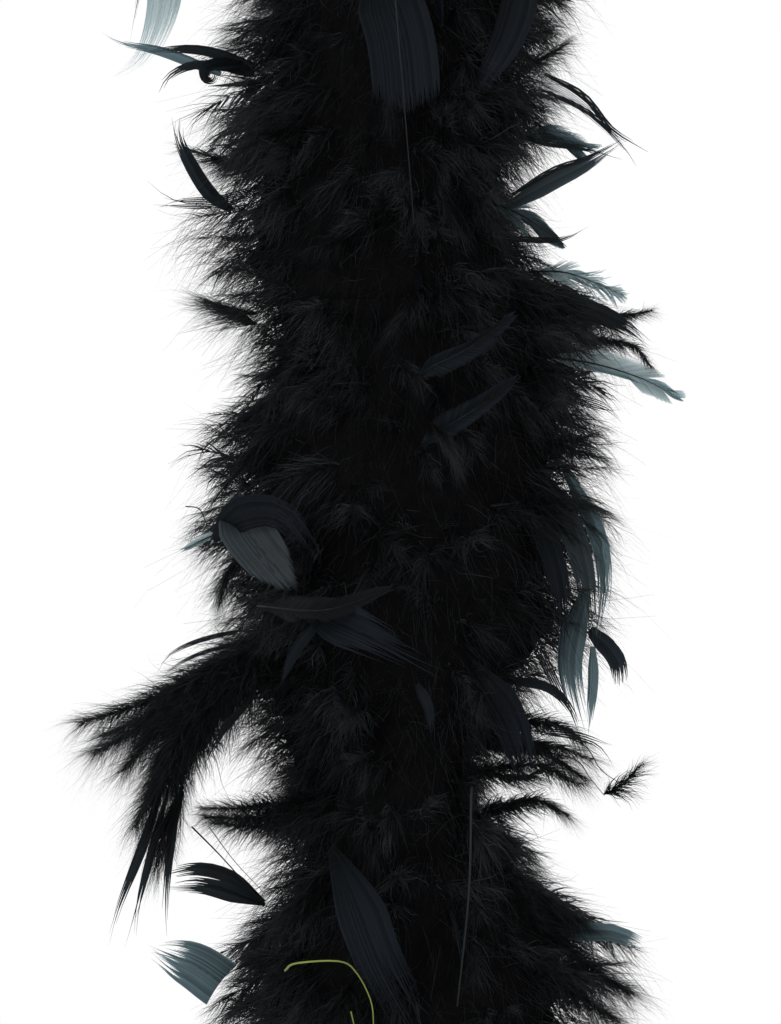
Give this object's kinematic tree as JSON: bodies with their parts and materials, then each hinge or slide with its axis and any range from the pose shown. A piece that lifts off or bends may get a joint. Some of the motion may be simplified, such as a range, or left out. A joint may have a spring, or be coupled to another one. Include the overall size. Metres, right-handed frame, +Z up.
{
  "type": "feather boa",
  "caption": "Long fluffy strand of black feathers bound to a twisted cord, with a thread loop at each end to hang it by.",
  "frame": {"origin": "where a hook carries the boa, inside the top of the upper thread loop", "axes": "+Z up, along the hanging strand towards the hook; +X to the viewer's right; -Y faces the viewer"},
  "size_m": [0.2159, 0.1798, 1.9479],
  "materials": {
    "cord": "matt two-ply cotton cord",
    "thread": "matt sewing thread",
    "down": "dull, downy, black",
    "vane": "satin, slate black, lets light through"
  },
  "bodies": {
    "hanging_loop": {"top_loop": "thread"},
    "section_01": {"core_cord_01": "cord", "quill_binding_01": "thread", "feather_ruff_01": "down", "top_knot": "cord", "top_whipping": "thread", "vane_feather_01": "vane"},
    "section_02": {"core_cord_02": "cord", "quill_binding_02": "thread", "feather_ruff_02": "down", "vane_feather_02": "vane"},
    "section_03": {"core_cord_03": "cord", "quill_binding_03": "thread", "feather_ruff_03": "down", "vane_feather_03": "vane"},
    "section_04": {"core_cord_04": "cord", "quill_binding_04": "thread", "feather_ruff_04": "down", "vane_feather_04": "vane"},
    "section_05": {"core_cord_05": "cord", "quill_binding_05": "thread", "feather_ruff_05": "down", "vane_feather_05": "vane"},
    "section_06": {"core_cord_06": "cord", "quill_binding_06": "thread", "feather_ruff_06": "down", "vane_feather_06": "vane", "vane_feather_07": "vane", "vane_feather_08": "vane", "vane_feather_09": "vane"},
    "section_07": {"core_cord_07": "cord", "quill_binding_07": "thread", "feather_ruff_07": "down", "vane_feather_10": "vane", "vane_feather_11": "vane", "vane_feather_12": "vane", "long_plume": "down"},
    "section_08": {"core_cord_08": "cord", "quill_binding_08": "thread", "feather_ruff_08": "down", "vane_feather_13": "vane", "vane_feather_14": "vane"},
    "section_09": {"core_cord_09": "cord", "quill_binding_09": "thread", "feather_ruff_09": "down", "vane_feather_15": "vane"},
    "section_10": {"core_cord_10": "cord", "quill_binding_10": "thread", "feather_ruff_10": "down", "vane_feather_16": "vane"},
    "section_11": {"core_cord_11": "cord", "quill_binding_11": "thread", "feather_ruff_11": "down", "vane_feather_17": "vane"},
    "section_12": {"core_cord_12": "cord", "quill_binding_12": "thread", "feather_ruff_12": "down", "bottom_knot": "cord", "bottom_whipping": "thread"},
    "foot_loop": {"bottom_loop": "thread"}
  },
  "joints": [
    {"name": "bend_01", "type": "hinge", "parent": "hanging_loop", "child": "section_01", "pos_m": [0, 0, -0.04215], "axis": [1, 0, 0], "range_deg": [-35, 35]},
    {"name": "bend_02", "type": "hinge", "parent": "section_01", "child": "section_02", "pos_m": [0, 0, -0.21975], "axis": [0, 1, 0], "range_deg": [-35, 35]},
    {"name": "bend_03", "type": "hinge", "parent": "section_02", "child": "section_03", "pos_m": [0, 0, -0.36975], "axis": [1, 0, 0], "range_deg": [-35, 35]},
    {"name": "bend_04", "type": "hinge", "parent": "section_03", "child": "section_04", "pos_m": [0, 0, -0.51975], "axis": [0, 1, 0], "range_deg": [-35, 35]},
    {"name": "bend_05", "type": "hinge", "parent": "section_04", "child": "section_05", "pos_m": [0, 0, -0.66975], "axis": [1, 0, 0], "range_deg": [-35, 35]},
    {"name": "bend_06", "type": "hinge", "parent": "section_05", "child": "section_06", "pos_m": [0, 0, -0.81975], "axis": [0, 1, 0], "range_deg": [-35, 35]},
    {"name": "bend_07", "type": "hinge", "parent": "section_06", "child": "section_07", "pos_m": [0, 0, -0.96975], "axis": [1, 0, 0], "range_deg": [-35, 35]},
    {"name": "bend_08", "type": "hinge", "parent": "section_07", "child": "section_08", "pos_m": [0, 0, -1.11975], "axis": [0, 1, 0], "range_deg": [-35, 35]},
    {"name": "bend_09", "type": "hinge", "parent": "section_08", "child": "section_09", "pos_m": [0, 0, -1.26975], "axis": [1, 0, 0], "range_deg": [-35, 35]},
    {"name": "bend_10", "type": "hinge", "parent": "section_09", "child": "section_10", "pos_m": [0, 0, -1.41975], "axis": [0, 1, 0], "range_deg": [-35, 35]},
    {"name": "bend_11", "type": "hinge", "parent": "section_10", "child": "section_11", "pos_m": [0, 0, -1.56975], "axis": [1, 0, 0], "range_deg": [-35, 35]},
    {"name": "bend_12", "type": "hinge", "parent": "section_11", "child": "section_12", "pos_m": [0, 0, -1.71975], "axis": [0, 1, 0], "range_deg": [-35, 35]},
    {"name": "foot_loop_swing", "type": "hinge", "parent": "section_12", "child": "foot_loop", "pos_m": [0, 0, -1.89735], "axis": [1, 0, 0], "range_deg": [-35, 35]}
  ]
}
